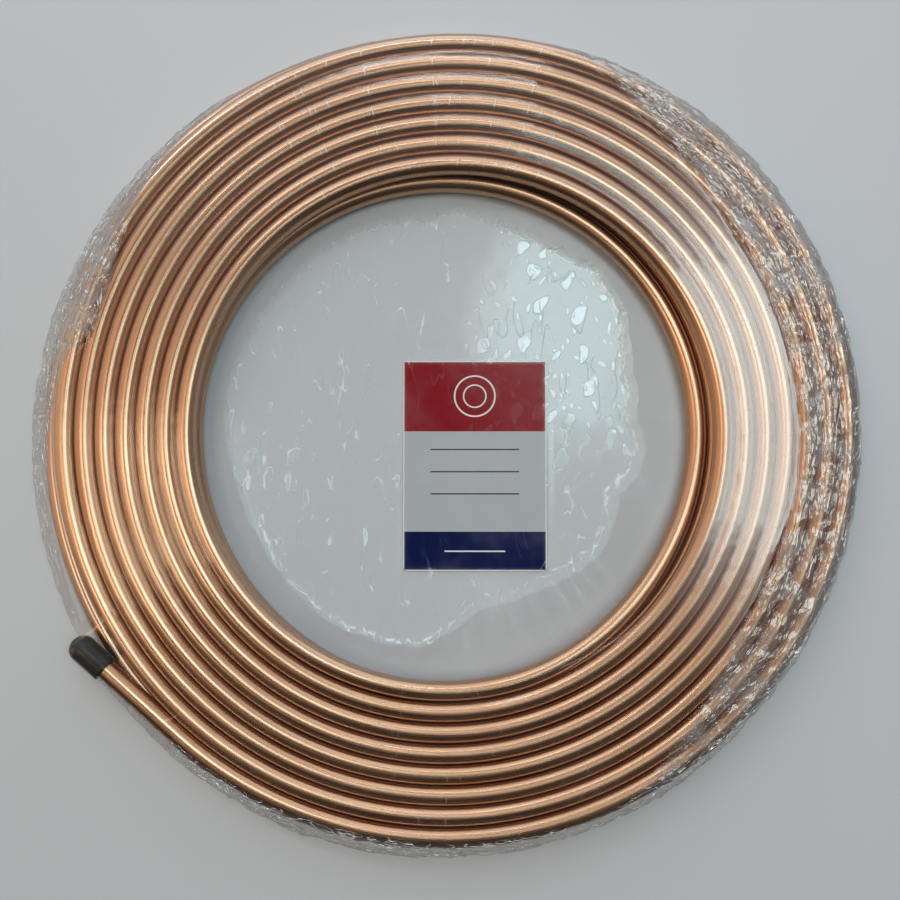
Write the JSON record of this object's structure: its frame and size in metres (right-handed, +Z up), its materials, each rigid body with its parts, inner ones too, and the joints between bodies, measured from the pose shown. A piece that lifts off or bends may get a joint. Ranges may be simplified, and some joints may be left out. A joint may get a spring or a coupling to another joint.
{
  "type": "copper tube coil",
  "caption": "Flat two-layer coil of soft copper tube with a capped free end, wrapped in clear film with a label card in its eye.",
  "frame": {"origin": "on the face that rests on the floor, under the middle of the coil", "axes": "+Z up out of the flat side of the coil, +X to the picture's right, +Y to the picture's top"},
  "size_m": [0.4079, 0.408, 0.0232],
  "materials": {
    "copper": "satin drawn copper",
    "cap_rubber": "smooth black",
    "clear_film": "clear glossy film",
    "printed_card": "coated card"
  },
  "bodies": {
    "root": {"tube_coil": "copper", "end_cap": "cap_rubber", "film_wrap": "clear_film", "label_card": "printed_card"}
  },
  "joints": []
}
